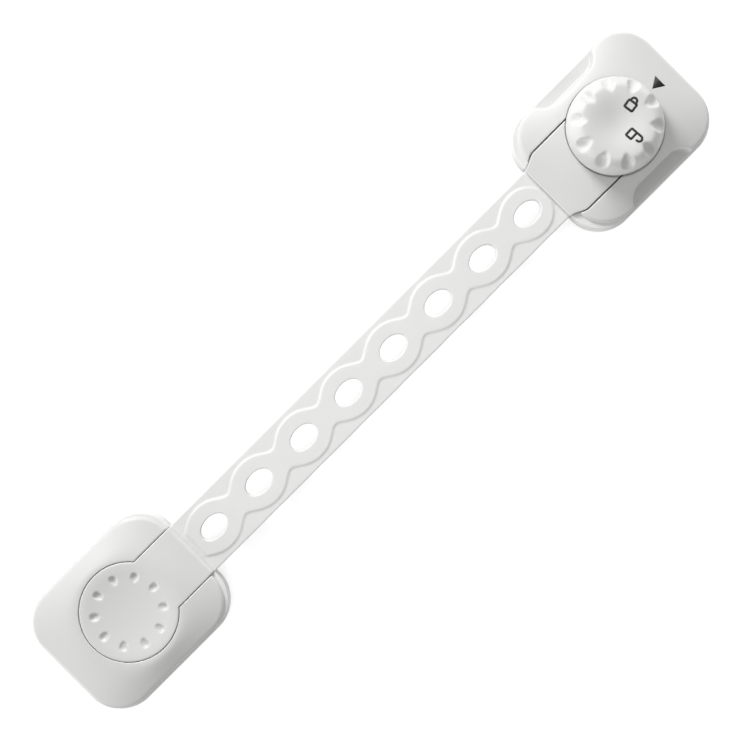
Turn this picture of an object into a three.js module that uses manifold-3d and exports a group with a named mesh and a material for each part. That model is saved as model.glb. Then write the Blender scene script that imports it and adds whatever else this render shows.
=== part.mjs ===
// Child safety lock: two stick-on units joined by a flexible strap.
// The left unit holds the strap for good. The right unit has a pocket for the strap's rigid head,
// and a quarter-turn knob on that head swings a two-lug cam under the pocket floor.
// Millimetres, +Z up, +X from the anchor unit to the lock unit, origin under the middle of the strap.
import * as THREE from "three";
import { mergeVertices } from "three/addons/utils/BufferGeometryUtils.js";
import Module from "manifold-3d";

// Overall layout
const unitLength = 42;
const unitWidth = 35;
const unitCorner = 8;
const fitGap = 0.3; // seam or running gap between two pieces
const cornerSteps = 5; // flats of a rounded corner
const sideSteps = 4; // flats of a straight side, where it has to turn into a circle

// Adhesive pads and base plates
const padThickness = 1;
const padInset = 1.5;
const plateThickness = 1.5;
const plateEdge = 0.3; // rounding of the plate's edges

// Crowned covers
const coverInset = 0.3; // plate edge that shows round the cover
const coverCorner = 9.8; // rounder than the plate, whose corners show
const coverSide = 4.7; // straight side below the rounded edge
const coverDraft = 0.15;
const coverEdge = 1.2; // radius of the rounded edge
const coverEdgeTurn = 64; // degrees that the edge turns before the crown's slope goes on
const coverEdgeSteps = 2;
const crownRise = 2.2; // from the edge up to the plateau
const crownSoftness = 0.2; // how gently the slope runs out into the plateau
const crownSteps = 4; // rings up the slope
const plateauRadius = 12.6; // flat top round the cap or the knob
const coverWall = 1.6;
const tubWall = 1.2; // wall of the pocket that holds a strap head
const floorThickness = 1.6; // pocket floor that the cam lugs catch under
const sillHeight = 1.8; // low floor where the strap comes in

// Finger recesses in the long sides of the lock cover
const recessLength = 19.6;
const recessInnerLength = 14.6;
const recessDepth = 3.7;
const recessCorner = 2.4;
const recessFloor = 2.4; // height of the recess floor above the plate

// Cover screws, driven from below and hidden by the pad
const screwInsetX = 6.5; // from the unit's edges
const screwInsetY = 4.5;
const screwHeadRadius = 2.2;
const screwHeadHeight = 0.7;
const screwRadius = 0.9;
const screwLength = 4.6;
const slotReach = 0.62; // cross slot, as a share of the head's radius
const slotWidth = 0.5;
const slotDepth = 0.3;
const bossRadius = 2.4;

// Strap
const strapWidth = 14.8;
const strapThickness = 2;
const holeCount = 8;
const holePitch = 14.7;
const holeLength = 7.6;
const holeWidth = 5.1;
const chainCrest = 11.9; // width of the raised chain round a hole
const chainNeck = 5.6; // and between two holes
const chainHeight = 0.4;
const chainRoundness = 0.55; // below 1 the crests are broad and the necks tight
const chainTuck = 0.6; // end of the chain's wave that a unit's edge cuts off
const chainSteps = 10; // points of the chain's edge per hole

// Strap ends, staked on pegs under the two heads
const tabLength = 9;
const tabThickness = 1.2;
const stakeReach = 5.5; // pegs, in from the unit's edge
const stakeSpread = 9; // between the two pegs
const stakeRadius = 1.3;
const stakeHeadRadius = 2.2;
const headFrontLength = 10.5; // thinner front of a head, over the strap's tab

// Lock head: the tongue that drops into the lock unit
const tongueWidth = 18;
const mouthWidth = 15.1;
const mouthTaper = 4;

// Anchor head: round cap with a neck
const capRadius = 11.5;
const neckWidth = 14.6;
const dishRadius = 10;
const dishDepth = 1.05;
const dimpleCount = 10;
const dimpleRing = 7.9;
const dimpleLength = 2.6;
const dimpleWidth = 2.1;
const dimpleDepth = 0.8;
const capBossRadius = 3.2;
const capScrewLength = 5.7;

// Knob
const knobRadius = 11.6;
const knobHeight = 7.2; // above the plateau, less the gap
const knobGap = 0.4; // running gap under and round the skirt
const knobSink = 0.4; // depth of the skirt in its groove
const knobFoot = 11.3; // radius of the knob's lower edge
const knobShoulder = 4.7; // height of the rounded shoulder
const knobRim = 7.9; // radius where the dish starts
const knobDish = 1.1;
const knobWall = 1.6;
const scallopCount = 10;
const scallopRing = 9.5;
const scallopLength = 4.2;
const scallopWidth = 3.3;
const scallopDepth = 1.15;
const scallopTilt = 40; // degrees, along the shoulder's slope
const scallopPhase = 23; // degrees from the pointer to the first scallop
const stemRadius = 3;
const stemSquare = 4;

// Cam under the knob
const lugReach = 7;
const lugWidth = 4.4;
const lugThickness = 1.4;
const lugLift = 0.4; // clearance of the lugs over the plate
const hubRadius = 4;
const detentSquare = 6.4; // flats that the detent spring leans on
const detentRound = 4.2;
const detentHeight = 1.6;
const camWeb = 0.7;
const camScrewHeadRadius = 2.1;
const camScrewLength = 4.8;
const stopAngle = 30; // degrees: width of each stop rib, and its distance from the lug's axis
const springThickness = 0.4;
const springLength = 12;
const springHeight = 1.4;
const springTravel = 1.3; // room behind the spring

// Levels above the surface that the lock is stuck to
const plateTop = padThickness + plateThickness;
const lugBottom = plateTop + lugLift;
const lugTop = lugBottom + lugThickness;
const floorBottom = lugTop + fitGap;
const floorTop = floorBottom + floorThickness;
const headBottom = floorTop + fitGap;
const crownStart = plateTop + coverSide;
const edgeTurn = THREE.MathUtils.degToRad(coverEdgeTurn);
const edgeTop = crownStart + coverEdge * Math.sin(edgeTurn);
const crownTop = edgeTop + crownRise;
const sillTop = plateTop + sillHeight;
const strapBottom = sillTop + fitGap;
const strapTop = strapBottom + strapThickness;
const tabBottom = strapTop - tabThickness;
const headFrontBottom = strapTop + fitGap;
const knobBottom = crownTop - knobSink;
const knobTop = crownTop + knobGap + knobHeight;
const detentTop = headBottom + detentHeight;
const boreBottom = detentTop + fitGap;
const webBottom = lugBottom + screwHeadHeight + fitGap / 2;
const webTop = webBottom + camWeb;
const above = crownTop + knobHeight; // clear of everything that is cut from above
const overlap = 0.5; // how far joined forms run into each other
const edgeX = (holeCount * holePitch) / 2 - chainTuck; // strap-side edge of the lock unit
const unitX = edgeX + unitLength / 2;

const wasm = await Module();
wasm.setup();

// A closed geometry as a solid that can be joined and cut.
function solid(geometry) {
  const bare = geometry.index ? geometry.toNonIndexed() : geometry.clone();
  bare.deleteAttribute("normal");
  bare.deleteAttribute("uv");
  const merged = mergeVertices(bare, 1e-4);
  return new wasm.Manifold(
    new wasm.Mesh({
      numProp: 3,
      vertProperties: new Float32Array(merged.attributes.position.array),
      triVerts: new Uint32Array(merged.index.array),
    }),
  );
}

function geometryOf(shape) {
  const mesh = shape.getMesh();
  const geometry = new THREE.BufferGeometry();
  geometry.setAttribute("position", new THREE.BufferAttribute(mesh.vertProperties, 3));
  geometry.setIndex(new THREE.BufferAttribute(mesh.triVerts, 1));
  const flat = geometry.toNonIndexed();
  flat.computeVertexNormals();
  return flat;
}

// Points of a rounded rectangle round (x, 0), anticlockwise.
function roundedRectangle(x, length, width, radius) {
  const r = Math.max(0.05, Math.min(radius, length / 2, width / 2));
  const corners = [
    [1, 1],
    [-1, 1],
    [-1, -1],
    [1, -1],
  ];
  return corners.flatMap(([sx, sy], corner) => {
    const points = [];
    for (let i = 0; i <= cornerSteps; i++) {
      const angle = (Math.PI / 2) * (corner + i / cornerSteps);
      const px = x + sx * (length / 2 - r) + r * Math.cos(angle);
      points.push(new THREE.Vector2(px, sy * (width / 2 - r) + r * Math.sin(angle)));
    }
    return points;
  });
}

// The same outline with its straight sides divided, so that it can turn into a circle.
function dividedOutline(points) {
  return points.flatMap((point, i) => {
    const next = points[(i + 1) % points.length];
    const steps = (i + 1) % (cornerSteps + 1) === 0 ? sideSteps : 1;
    return Array.from({ length: steps }, (_, j) => point.clone().lerp(next, j / steps));
  });
}

// Upright prism of a flat outline.
function prism(shape, bottom, top, curveSegments = 8) {
  const geometry = new THREE.ExtrudeGeometry(shape, {
    depth: top - bottom,
    bevelEnabled: false,
    curveSegments,
  });
  return solid(geometry.translate(0, 0, bottom));
}

function box(x0, x1, y0, y1, z0, z1) {
  const geometry = new THREE.BoxGeometry(x1 - x0, y1 - y0, z1 - z0);
  return solid(geometry.translate((x0 + x1) / 2, (y0 + y1) / 2, (z0 + z1) / 2));
}

function post(x, y, radius, bottom, top, sides = 24) {
  const geometry = new THREE.CylinderGeometry(radius, radius, top - bottom, sides);
  return solid(geometry.rotateX(Math.PI / 2).translate(x, y, (bottom + top) / 2));
}

// Revolved profile of [radius, height] points that starts and ends on the axis, from the bottom up.
function revolve(profile, x, sides) {
  const points = profile.map(([radius, height]) => new THREE.Vector2(radius, height));
  const geometry = new THREE.LatheGeometry(points, sides);
  return solid(geometry.rotateX(Math.PI / 2).translate(x, 0, 0));
}

// Ellipsoid with its own three axes, lowered into the form by a tilt about its width.
function scoop(length, width, depth, tilt, sides) {
  const geometry = new THREE.SphereGeometry(1, sides, 6);
  geometry.scale(length / 2, width / 2, depth);
  return geometry.rotateY(THREE.MathUtils.degToRad(tilt));
}

function joined(shapes) {
  return shapes.reduce((whole, next) => whole.add(next));
}

// Loft through rounded rectangles given as [inset from the unit's edge, height, share of the way
// from that outline to the circle round the plateau].
function unitLoft(x, rings, corner) {
  const roundsOff = rings.some(([, , share]) => share > 0);
  const outlines = rings.map(([inset, height, share = 0]) => {
    const outline = roundedRectangle(x, unitLength - 2 * inset, unitWidth - 2 * inset, corner - inset);
    return (roundsOff ? dividedOutline(outline) : outline).map((p) => {
      const angle = Math.atan2(p.y, p.x - x);
      const px = THREE.MathUtils.lerp(p.x, x + plateauRadius * Math.cos(angle), share);
      const py = THREE.MathUtils.lerp(p.y, plateauRadius * Math.sin(angle), share);
      return new THREE.Vector3(px, py, height);
    });
  });
  const count = outlines[0].length;
  const last = outlines.length - 1;
  const positions = outlines.flat().flatMap((p) => [p.x, p.y, p.z]);
  const faces = [];
  for (let ring = 0; ring < last; ring++) {
    for (let i = 0; i < count; i++) {
      const a = ring * count + i;
      const b = ring * count + ((i + 1) % count);
      faces.push(a, b, b + count, a, b + count, a + count);
    }
  }
  for (let i = 1; i < count - 1; i++) {
    faces.push(0, i + 1, i);
    faces.push(last * count, last * count + i, last * count + i + 1);
  }
  const geometry = new THREE.BufferGeometry();
  geometry.setAttribute("position", new THREE.Float32BufferAttribute(positions, 3));
  geometry.setIndex(faces);
  return solid(geometry);
}

// Height of the crown at a share of the way from its edge to the plateau.
function crownHeight(share) {
  const soft = crownSoftness;
  const fall = Math.hypot(1 - share, soft) - soft;
  return crownTop - (crownRise * fall) / (Math.hypot(1, soft) - soft);
}

// The solid form of a unit's cover: straight side, rounded edge, then a slope up to the round plateau.
function crownForm(x, wall, bottom) {
  const foot = coverInset + wall;
  const rings = [[foot, bottom]];
  let inset = foot + coverDraft;
  for (let i = 0; i <= coverEdgeSteps; i++) {
    const turn = (edgeTurn * i) / coverEdgeSteps;
    inset = foot + coverDraft + coverEdge * (1 - Math.cos(turn));
    rings.push([inset, crownStart - wall + coverEdge * Math.sin(turn)]);
  }
  for (let i = 1; i <= crownSteps; i++) {
    const share = i / crownSteps;
    rings.push([inset, crownHeight(share) - wall, share]);
  }
  return unitLoft(x, rings, coverCorner);
}

// Outline of the lock head: parallel sides, drawn in at the mouth, round under the knob.
function tongueOutline(grow) {
  const half = tongueWidth / 2 + grow;
  const mouth = mouthWidth / 2 + grow;
  const middle = edgeX + mouthTaper / 2;
  const inside = edgeX + mouthTaper;
  const front = edgeX - overlap;
  const shape = new THREE.Shape();
  shape.moveTo(front, -mouth);
  shape.lineTo(edgeX, -mouth);
  shape.bezierCurveTo(middle, -mouth, middle, -half, inside, -half);
  shape.lineTo(unitX, -half);
  shape.absarc(unitX, 0, half, -Math.PI / 2, Math.PI / 2);
  shape.lineTo(inside, half);
  shape.bezierCurveTo(middle, half, middle, mouth, edgeX, mouth);
  shape.lineTo(front, mouth);
  shape.closePath();
  return shape;
}

// Outline of the anchor head: a disc with a neck out to the strap.
function capOutline(grow) {
  const radius = capRadius + grow;
  const half = neckWidth / 2 + grow;
  const meet = Math.asin(half / radius);
  const front = -edgeX + overlap;
  const shape = new THREE.Shape();
  shape.moveTo(front, -half);
  shape.lineTo(front, half);
  shape.absarc(-unitX, 0, radius, meet, 2 * Math.PI - meet);
  shape.closePath();
  return shape;
}

const screwPlaces = [
  [-1, -1],
  [1, -1],
  [1, 1],
  [-1, 1],
].map(([sx, sy]) => [sx * (unitLength / 2 - screwInsetX), sy * (unitWidth / 2 - screwInsetY)]);

// Double-sided foam tape.
function adhesivePad(x) {
  const length = unitLength - 2 * padInset;
  const width = unitWidth - 2 * padInset;
  const outline = new THREE.Shape(roundedRectangle(x, length, width, unitCorner - padInset));
  return prism(outline, 0, padThickness);
}

// Base plate with countersunk holes for the cover screws.
function basePlate(x) {
  const rings = [
    [plateEdge, padThickness],
    [0, padThickness + plateEdge],
    [0, plateTop - plateEdge],
    [plateEdge, plateTop],
  ];
  const holes = screwPlaces.map(([dx, dy]) => screwHole(x + dx, dy, screwHeadRadius));
  return unitLoft(x, rings, unitCorner).subtract(joined(holes));
}

function screwHole(x, y, headRadius) {
  const sink = padThickness + screwHeadHeight + 2 * fitGap;
  const head = post(x, y, headRadius + fitGap, 0, sink, 12);
  return head.add(post(x, y, screwRadius + fitGap, 0, plateTop + overlap, 8));
}

// Pan-head screw pointing up, its head just clear of the pad.
function screw(x, y, headRadius, headBottom, length) {
  const headTop = headBottom + screwHeadHeight;
  const slotHalf = headRadius * slotReach;
  const slotTop = headBottom + slotDepth;
  const across = box(x - slotHalf, x + slotHalf, y - slotWidth / 2, y + slotWidth / 2, 0, slotTop);
  const along = box(x - slotWidth / 2, x + slotWidth / 2, y - slotHalf, y + slotHalf, 0, slotTop);
  const head = post(x, y, headRadius, headBottom, headTop, 12);
  const shank = post(x, y, screwRadius, headBottom, headTop + length, 8);
  return head.add(shank).subtract(across.add(along));
}

// Crowned cover with a tub for the strap head, open below and at the strap side.
function cover(x, outline, tubOutline) {
  const side = Math.sign(x);
  const front = side * (edgeX + headFrontLength);
  const crown = crownForm(x, 0, plateTop);
  const tub = prism(tubOutline, plateTop + fitGap, above, 12);
  const bosses = screwPlaces.map(([dx, dy]) => post(x + dx, dy, bossRadius, 0, above, 12));
  const cavity = crownForm(x, coverWall, 0).subtract(joined([tub, ...bosses]));
  const pilots = screwPlaces.map(([dx, dy]) =>
    post(x + dx, dy, screwRadius + fitGap, 0, padThickness + screwHeadHeight + screwLength + 2 * fitGap, 8),
  );
  const sill = box(Math.min(0, front), Math.max(0, front), -unitWidth, unitWidth, sillTop, above);
  const pocket = prism(outline, floorTop, above, 12).add(prism(outline, sillTop, above, 12).intersect(sill));
  return crown.subtract(cavity).subtract(pocket).subtract(joined(pilots));
}

// One finger recess, cut down into the side of the lock cover.
function fingerRecess(sideY, grow) {
  const outer = recessLength / 2 + grow;
  const inner = recessInnerLength / 2 + grow;
  const edge = unitWidth / 2 - coverInset;
  const deep = edge - recessDepth - grow;
  const corner = recessCorner;
  const shape = new THREE.Shape();
  shape.moveTo(unitX - outer, sideY * (edge + overlap));
  shape.lineTo(unitX - outer, sideY * edge);
  shape.bezierCurveTo(
    unitX - outer + corner / 2, sideY * (edge - corner / 2),
    unitX - inner - corner / 2, sideY * deep,
    unitX - inner + corner / 2, sideY * deep,
  );
  shape.lineTo(unitX + inner - corner / 2, sideY * deep);
  shape.bezierCurveTo(
    unitX + inner + corner / 2, sideY * deep,
    unitX + outer - corner / 2, sideY * (edge - corner / 2),
    unitX + outer, sideY * edge,
  );
  shape.lineTo(unitX + outer, sideY * (edge + overlap));
  shape.closePath();
  return prism(shape, plateTop + recessFloor - grow, above, 6);
}

// Head pegs that hold the strap's tab, spread at the ends after assembly.
function stakes(side) {
  return [-1, 1].map((sy) => {
    const x = side * (edgeX + stakeReach);
    const y = (sy * stakeSpread) / 2;
    const peg = post(x, y, stakeRadius, strapBottom, headFrontBottom + overlap, 16);
    return peg.add(post(x, y, stakeHeadRadius, strapBottom, tabBottom - fitGap, 16));
  });
}

// A strap head flush with the crown: thick over the pocket floor, thin over the strap's tab.
function headForm(x, outline) {
  const side = Math.sign(x);
  const front = side * (edgeX + headFrontLength - fitGap);
  const overTab = box(Math.min(0, front), Math.max(0, front), -unitWidth, unitWidth, 0, headFrontBottom);
  const low = Math.min(headBottom, headFrontBottom);
  const blank = crownForm(x, 0, low).intersect(prism(outline, low, above, 12));
  const rest = box(x - unitLength, x + unitLength, -unitWidth, unitWidth, 0, headBottom);
  return joined([blank.subtract(overTab).subtract(rest.subtract(overTab)), ...stakes(side)]);
}

// Round groove in the plateau, across cover and tongue, that the knob's skirt runs in.
function knobGroove() {
  const bottom = knobBottom - knobGap;
  const ring = post(unitX, 0, knobFoot + knobGap, bottom, above, 40);
  return ring.subtract(post(unitX, 0, knobFoot - knobWall - knobGap, bottom, above, 40));
}

function lockCover() {
  const hubHole = post(unitX, 0, hubRadius + 2 * fitGap, 0, floorTop + overlap, 32);
  const wayHalf = lugWidth / 2 + fitGap;
  const wayReach = lugReach + fitGap;
  const lugWay = box(unitX - wayHalf, unitX + wayHalf, -wayReach, wayReach, 0, floorTop + overlap);
  const camRoom = post(unitX, 0, lugReach + 2 * fitGap, 0, floorBottom, 40);
  const shell = cover(unitX, tongueOutline(fitGap), tongueOutline(fitGap + tubWall));
  const lining = joined([-1, 1].map((sy) => fingerRecess(sy, coverWall)))
    .intersect(crownForm(unitX, 0, plateTop + fitGap))
    .subtract(prism(tongueOutline(fitGap), sillTop, above, 12));
  const recesses = joined([-1, 1].map((sy) => fingerRecess(sy, 0)));
  const cuts = joined([recesses, hubHole, lugWay, camRoom, knobGroove()]);
  return shell.add(lining).subtract(cuts);
}

function anchorCover() {
  const shell = cover(-unitX, capOutline(fitGap), capOutline(fitGap + tubWall));
  return shell.subtract(post(-unitX, 0, capBossRadius + fitGap, 0, floorTop + overlap, 32));
}

// Base plate of the lock unit, with two ribs that stop the cam at the ends of its quarter turn.
function lockPlate() {
  const ribs = [-1, 1].map((end) => {
    const from = THREE.MathUtils.degToRad(end > 0 ? 180 - 2 * stopAngle : 360 - 2 * stopAngle);
    const to = from + THREE.MathUtils.degToRad(stopAngle);
    const shape = new THREE.Shape();
    shape.absarc(unitX, 0, lugReach, from, to);
    shape.absarc(unitX, 0, hubRadius + 3 * fitGap, to, from, true);
    shape.closePath();
    return prism(shape, plateTop - plateEdge, lugTop, 4);
  });
  return joined([basePlate(unitX), ...ribs]);
}

function anchorPlate() {
  return basePlate(-unitX).subtract(screwHole(-unitX, 0, camScrewHeadRadius));
}

// Tongue with the knob's bore, and the recess for the cam's square and the detent spring.
function lockHead() {
  const bore = post(unitX, 0, stemRadius + fitGap, 0, above, 32);
  const squareRoom = post(unitX, 0, detentRound + 2 * fitGap, 0, boreBottom, 32);
  const back = unitX - detentSquare / 2 - fitGap;
  const ends = springLength / 2 + fitGap;
  const seat = box(back - springThickness - fitGap, back + fitGap, -ends, ends, 0, boreBottom);
  const bowHalf = springLength / 3;
  const bow = box(back - springThickness - springTravel, back, -bowHalf, bowHalf, 0, boreBottom);
  return headForm(unitX, tongueOutline(0)).subtract(joined([bore, squareRoom, seat, bow, knobGroove()]));
}

// Round cap with a neck: dished, with a ring of teardrop dimples, on one screw boss.
function anchorHead() {
  const dishSphere = (dishRadius ** 2 + dishDepth ** 2) / (2 * dishDepth);
  const dishProfile = [];
  const dishSteps = 4;
  for (let i = 0; i <= dishSteps; i++) {
    const radius = (dishRadius * i) / dishSteps;
    const sag = dishSphere - Math.sqrt(dishSphere ** 2 - radius ** 2);
    dishProfile.push([radius, crownTop - dishDepth + sag]);
  }
  dishProfile.push([dishRadius, above], [0, above]);
  const dish = revolve(dishProfile, -unitX, 32);
  const dimples = [];
  for (let i = 0; i < dimpleCount; i++) {
    const angle = (2 * Math.PI * i) / dimpleCount;
    const sag = dishSphere - Math.sqrt(dishSphere ** 2 - dimpleRing ** 2);
    const dimple = scoop(dimpleLength, dimpleWidth, dimpleDepth, 0, 8);
    dimple.translate(dimpleRing, 0, crownTop - dishDepth + sag).rotateZ(angle);
    dimples.push(solid(dimple.translate(-unitX, 0, 0)));
  }
  const boss = post(-unitX, 0, capBossRadius, plateTop + fitGap, headBottom + overlap, 32);
  const pilotTop = padThickness + fitGap / 2 + screwHeadHeight + capScrewLength + fitGap;
  const pilot = post(-unitX, 0, screwRadius + fitGap, 0, pilotTop, 12);
  const head = headForm(-unitX, capOutline(0)).subtract(dish).subtract(joined(dimples));
  return head.add(boss).subtract(pilot);
}

// Half width of the raised chain at a place along the strap.
function chainHalf(x) {
  const rise = (1 + Math.cos((2 * Math.PI * (x - holePitch / 2)) / holePitch)) / 2;
  return (chainNeck + (chainCrest - chainNeck) * rise ** chainRoundness) / 2;
}

function holePaths() {
  const holes = [];
  for (let i = 0; i < holeCount; i++) {
    const x = (i - (holeCount - 1) / 2) * holePitch;
    const path = new THREE.Path();
    path.absellipse(x, 0, holeLength / 2, holeWidth / 2, 0, 2 * Math.PI, true);
    holes.push(path);
  }
  return holes;
}

// One flexible strap: flat band, raised chain round the oval holes, and a staked tab at each end.
function strap() {
  const tabEnd = edgeX + tabLength;
  const band = new THREE.Shape();
  band.moveTo(-tabEnd, -strapWidth / 2);
  band.lineTo(tabEnd, -strapWidth / 2);
  band.lineTo(tabEnd, strapWidth / 2);
  band.lineTo(-tabEnd, strapWidth / 2);
  band.closePath();
  band.holes = holePaths();
  const chainEnd = edgeX - coverInset;
  const steps = Math.round((2 * chainEnd * chainSteps) / holePitch);
  const edge = [];
  for (let i = 0; i <= steps; i++) {
    const x = -chainEnd + (2 * chainEnd * i) / steps;
    edge.push(new THREE.Vector2(x, -chainHalf(x)));
  }
  const farEdge = edge.map((p) => new THREE.Vector2(p.x, -p.y)).reverse();
  const chain = new THREE.Shape([...edge, ...farEdge]);
  chain.holes = holePaths();
  const thinned = [];
  for (const side of [-1, 1]) {
    const inner = side * (edgeX + coverInset + fitGap);
    const outer = side * (tabEnd + overlap);
    const low = Math.min(inner, outer);
    thinned.push(box(low, Math.max(inner, outer), -strapWidth, strapWidth, 0, tabBottom));
    for (const sy of [-1, 1]) {
      const x = side * (edgeX + stakeReach);
      const y = (sy * stakeSpread) / 2;
      thinned.push(post(x, y, stakeRadius + fitGap, 0, above, 16));
    }
  }
  const flat = prism(band, strapBottom, strapTop, 10);
  return flat.add(prism(chain, strapTop - chainHeight, strapTop + chainHeight, 10)).subtract(joined(thinned));
}

// Dished knob, hollow below, with a ring of finger scallops and a stem with a square end.
function knob() {
  const shoulderZ = knobTop - knobShoulder;
  const roof = knobTop - knobDish - knobWall;
  const cavityRadius = knobFoot - knobWall;
  const profile = [
    [0, boreBottom],
    [stemRadius, boreBottom],
    [stemRadius, roof],
    [knobRim - knobWall, roof],
    [cavityRadius, shoulderZ],
    [cavityRadius, knobBottom],
    [knobFoot, knobBottom],
  ];
  const shoulderSteps = 5;
  for (let i = 0; i <= shoulderSteps; i++) {
    const turn = (Math.PI / 2) * (i / shoulderSteps);
    const radius = knobRim + (knobRadius - knobRim) * Math.cos(turn);
    profile.push([radius, shoulderZ + knobShoulder * Math.sin(turn)]);
  }
  const dishSteps = 4;
  for (let i = dishSteps - 1; i >= 0; i--) {
    const share = i / dishSteps;
    profile.push([knobRim * share, knobTop - knobDish * (1 - share ** 2)]);
  }
  const scallops = [];
  const run = (scallopRing - knobRim) / (knobRadius - knobRim);
  const scallopZ = shoulderZ + knobShoulder * Math.sqrt(1 - run ** 2);
  for (let i = 0; i < scallopCount; i++) {
    const angle = THREE.MathUtils.degToRad(scallopPhase + (360 * i) / scallopCount);
    const scallop = scoop(scallopLength, scallopWidth, scallopDepth, scallopTilt, 10);
    scallop.translate(scallopRing, 0, scallopZ).rotateZ(angle);
    scallops.push(solid(scallop.translate(unitX, 0, 0)));
  }
  const half = stemSquare / 2;
  const square = box(unitX - half, unitX + half, -half, half, webTop + fitGap, boreBottom + overlap);
  const pilotTop = webBottom + camScrewLength + 2 * fitGap;
  const pilot = post(unitX, 0, screwRadius + fitGap, 0, pilotTop, 12);
  return revolve(profile, unitX, 40).subtract(joined(scallops)).add(square).subtract(pilot);
}

// Two-lug cam: round hub through the pocket floor, square top for the detent.
function lockCam() {
  const half = detentSquare / 2;
  const socketHalf = stemSquare / 2 + fitGap;
  const lugHalf = lugWidth / 2;
  const lugs = box(unitX - lugReach, unitX + lugReach, -lugHalf, lugHalf, lugBottom, lugTop);
  const tips = post(unitX, 0, lugReach, 0, above, 40);
  const hub = post(unitX, 0, hubRadius, lugBottom, floorTop + fitGap / 2, 32);
  const square = box(unitX - half, unitX + half, -half, half, floorTop, detentTop);
  const rounding = post(unitX, 0, detentRound, 0, above, 32);
  const socket = box(unitX - socketHalf, unitX + socketHalf, -socketHalf, socketHalf, webTop, above);
  const screwHead = post(unitX, 0, camScrewHeadRadius + fitGap, 0, webBottom, 16);
  const screwWay = post(unitX, 0, screwRadius + fitGap, 0, above, 12);
  const body = joined([lugs.intersect(tips), hub, square.intersect(rounding)]);
  return body.subtract(joined([socket, screwHead, screwWay]));
}

// Flat steel spring that leans on one side of the cam's square.
function detentSpring() {
  const face = unitX - detentSquare / 2 - fitGap;
  const bottom = headBottom + fitGap / 2;
  const half = springLength / 2;
  return box(face - springThickness, face, -half, half, bottom, bottom + springHeight);
}

const white = { color: 0xececec, roughness: 0.42, metalness: 0 };
const strapWhite = { color: 0xf1f1f1, roughness: 0.5, metalness: 0 };
const foam = { color: 0xe4e4e0, roughness: 0.9, metalness: 0 };
const steel = { color: 0xb9bcc0, roughness: 0.35, metalness: 1 };

const childSafetyLock = new THREE.Group();

function place(name, shape, look) {
  const mesh = new THREE.Mesh(geometryOf(shape), new THREE.MeshStandardMaterial(look));
  mesh.name = name;
  childSafetyLock.add(mesh);
}

place("anchor_adhesive_pad", adhesivePad(-unitX), foam);
place("anchor_base_plate", anchorPlate(), white);
place("anchor_cover", anchorCover(), white);
place("anchor_head", anchorHead(), white);
place("lock_adhesive_pad", adhesivePad(unitX), foam);
place("lock_base_plate", lockPlate(), white);
place("lock_cover", lockCover(), white);
place("lock_head", lockHead(), white);
place("strap", strap(), strapWhite);
place("knob", knob(), white);
place("lock_cam", lockCam(), white);
place("detent_spring", detentSpring(), steel);

const screwSeat = padThickness + fitGap / 2;
for (const [unit, x] of [["anchor", -unitX], ["lock", unitX]]) {
  screwPlaces.forEach(([dx, dy], i) => {
    const shape = screw(x + dx, dy, screwHeadRadius, screwSeat, screwLength);
    place(`${unit}_cover_screw_${i + 1}`, shape, steel);
  });
}
place("anchor_head_screw", screw(-unitX, 0, camScrewHeadRadius, screwSeat, capScrewLength), steel);
place("cam_screw", screw(unitX, 0, camScrewHeadRadius, lugBottom, camScrewLength), steel);

export default childSafetyLock;
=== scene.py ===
import math
import bmesh
import bpy
import numpy as np
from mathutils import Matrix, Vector


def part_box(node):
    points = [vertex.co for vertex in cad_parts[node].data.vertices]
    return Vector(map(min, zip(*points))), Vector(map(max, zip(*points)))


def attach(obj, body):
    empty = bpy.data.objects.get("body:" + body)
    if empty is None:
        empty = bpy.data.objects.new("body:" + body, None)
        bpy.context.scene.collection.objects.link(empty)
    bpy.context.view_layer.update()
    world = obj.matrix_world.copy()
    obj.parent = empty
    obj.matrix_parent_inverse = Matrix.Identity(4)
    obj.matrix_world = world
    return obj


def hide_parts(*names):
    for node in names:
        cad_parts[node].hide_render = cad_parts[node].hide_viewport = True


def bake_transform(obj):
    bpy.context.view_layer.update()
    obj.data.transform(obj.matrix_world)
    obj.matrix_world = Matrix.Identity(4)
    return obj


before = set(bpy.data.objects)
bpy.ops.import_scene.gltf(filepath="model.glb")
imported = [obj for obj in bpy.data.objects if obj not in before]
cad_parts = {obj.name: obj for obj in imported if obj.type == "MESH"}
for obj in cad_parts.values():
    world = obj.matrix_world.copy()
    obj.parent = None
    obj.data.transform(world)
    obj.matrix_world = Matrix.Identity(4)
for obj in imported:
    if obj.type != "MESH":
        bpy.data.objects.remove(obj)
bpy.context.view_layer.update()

mm = 0.001
print("frame loaded:", len(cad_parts), "nodes")


def boxMm(node):
    low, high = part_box(node)
    return np.array(low) / mm, np.array(high) / mm


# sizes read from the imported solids, in millimetres
coverLow, coverHigh = boxMm("lock_cover")
plateLow, plateHigh = boxMm("lock_base_plate")
strapLow, strapHigh = boxMm("strap")
bandBottom = strapLow[2]
tailEnd = strapHigh[0]
unitX = (coverLow[0] + coverHigh[0]) / 2
edgeX = plateLow[0]
padTop = plateLow[2]
plateTop = coverLow[2]
crownTop = boxMm("anchor_cover")[1][2]
knobTop = boxMm("knob")[1][2]


# mesh tools

def newPiece(name, points, faces, material, body=None):
    mesh = bpy.data.meshes.new(name)
    mesh.from_pydata((np.asarray(points) * mm).tolist(), [], [list(face) for face in faces])
    mesh.validate()
    mesh.update()
    mesh.shade_smooth()
    mesh.materials.append(material)
    piece = bpy.data.objects.new(name, mesh)
    bpy.context.scene.collection.objects.link(piece)
    if body:
        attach(piece, body)
    return piece


# Keeps what is inside both distance fields and rounds the edge where they meet.
def roundMax(a, b, radius):
    u = np.maximum(a + radius, 0)
    v = np.maximum(b + radius, 0)
    return np.minimum(np.maximum(a, b), -radius) + np.hypot(u, v)


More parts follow.
